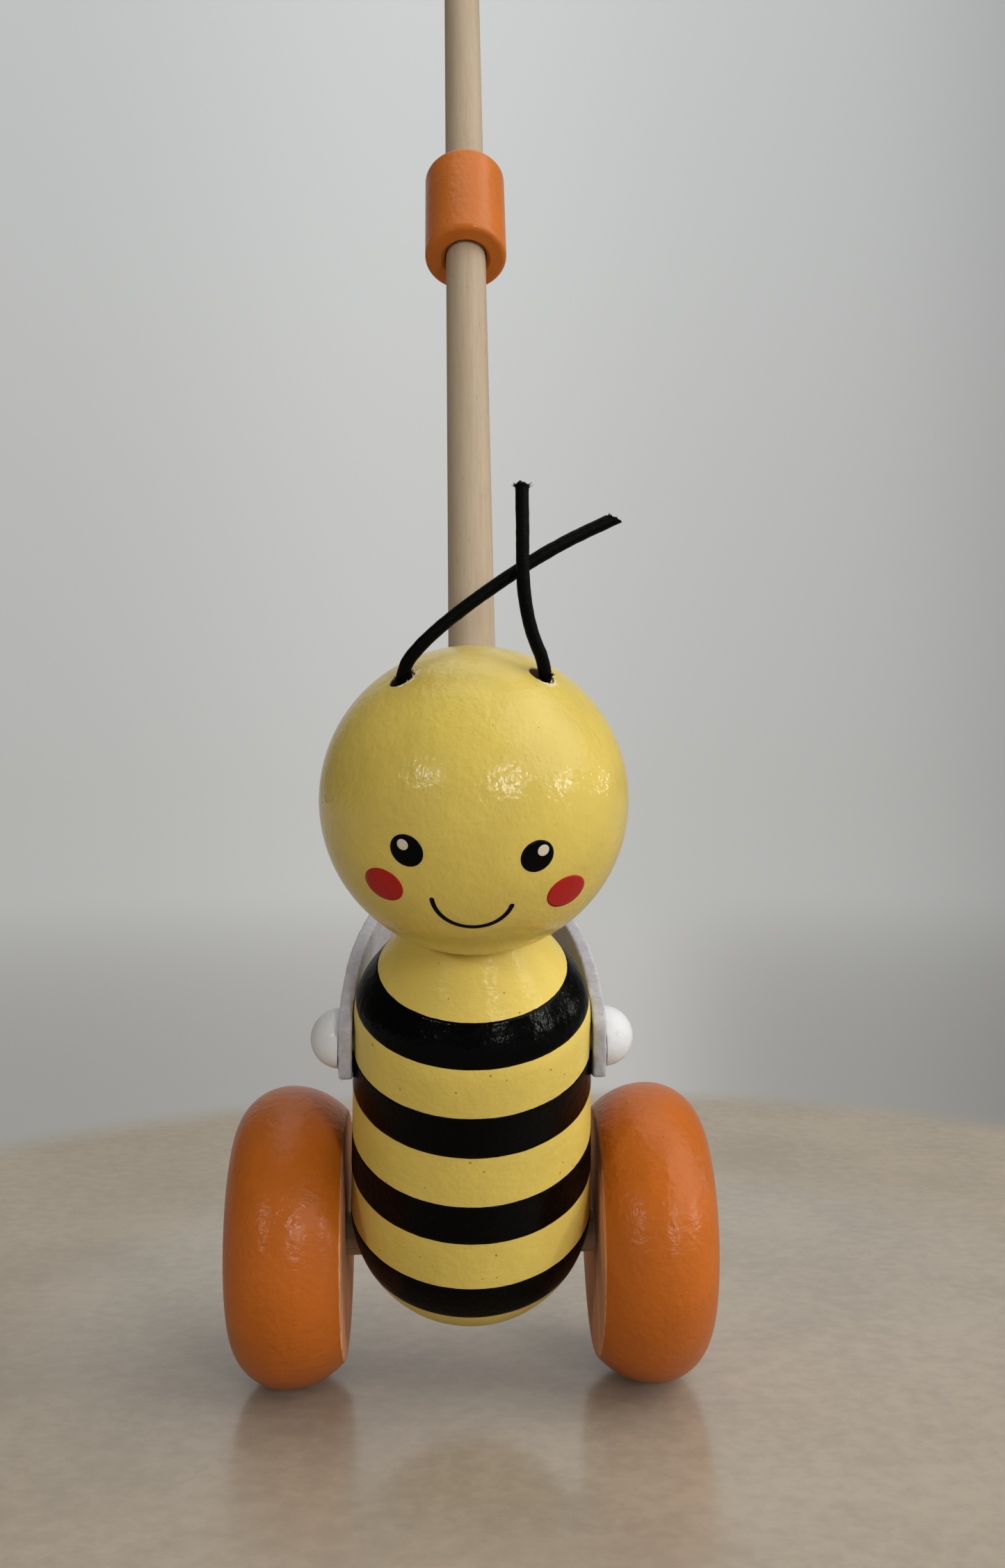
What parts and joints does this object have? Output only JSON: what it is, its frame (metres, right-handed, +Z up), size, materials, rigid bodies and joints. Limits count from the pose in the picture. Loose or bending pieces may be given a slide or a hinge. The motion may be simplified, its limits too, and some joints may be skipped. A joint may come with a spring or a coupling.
{
  "type": "toddler push toy",
  "caption": "Wooden bee on wheels with felt wings and cord antennae, pushed along the floor by a long jointed stick with a ball grip",
  "frame": {"origin": "on the floor under the wheels, midway across the wheels and midway between the front of the head and the back of the ball grip", "axes": "+Z up, the bee faces -Y, the stick leans back towards +Y, the axle runs along X"},
  "size_m": [0.1112, 0.282, 0.5515],
  "materials": {
    "yellow_paint": "pastel yellow satin paint on turned wood, fine grain showing through",
    "black_paint": "black satin paint in hand painted bands",
    "orange_paint": "orange satin paint on turned wood, bare wood on the inner faces",
    "white_paint": "white satin paint",
    "red_paint": "red satin paint",
    "beech": "sanded beech dowel, clear matt varnish",
    "felt": "thick pressed wool felt, white with a grey cast",
    "cord": "black braided elastic cord with frayed cut ends"
  },
  "bodies": {
    "bee": {"body": "yellow_paint", "head": "yellow_paint", "neck_dowel": "beech", "stick_lower": "beech", "wing_left": "felt", "wing_right": "felt", "wing_peg_left": "white_paint", "wing_peg_right": "white_paint", "antenna_left": "cord", "antenna_right": "cord"},
    "wheelset": {"axle": "beech", "wheel_left": "orange_paint", "wheel_right": "orange_paint"},
    "upper_stick": {"stick_upper": "beech", "stick_sleeve": "orange_paint", "grip_ball": "orange_paint"}
  },
  "joints": [
    {"name": "wheels_roll", "type": "hinge", "parent": "bee", "child": "wheelset", "pos_m": [0, -0.05269, 0.0345], "axis": [1, 0, 0], "continuous": true},
    {"name": "stick_pull", "type": "slide", "parent": "bee", "child": "upper_stick", "axis": [0, 0.5075, 0.8616], "range_m": [0, 0.015]}
  ]
}
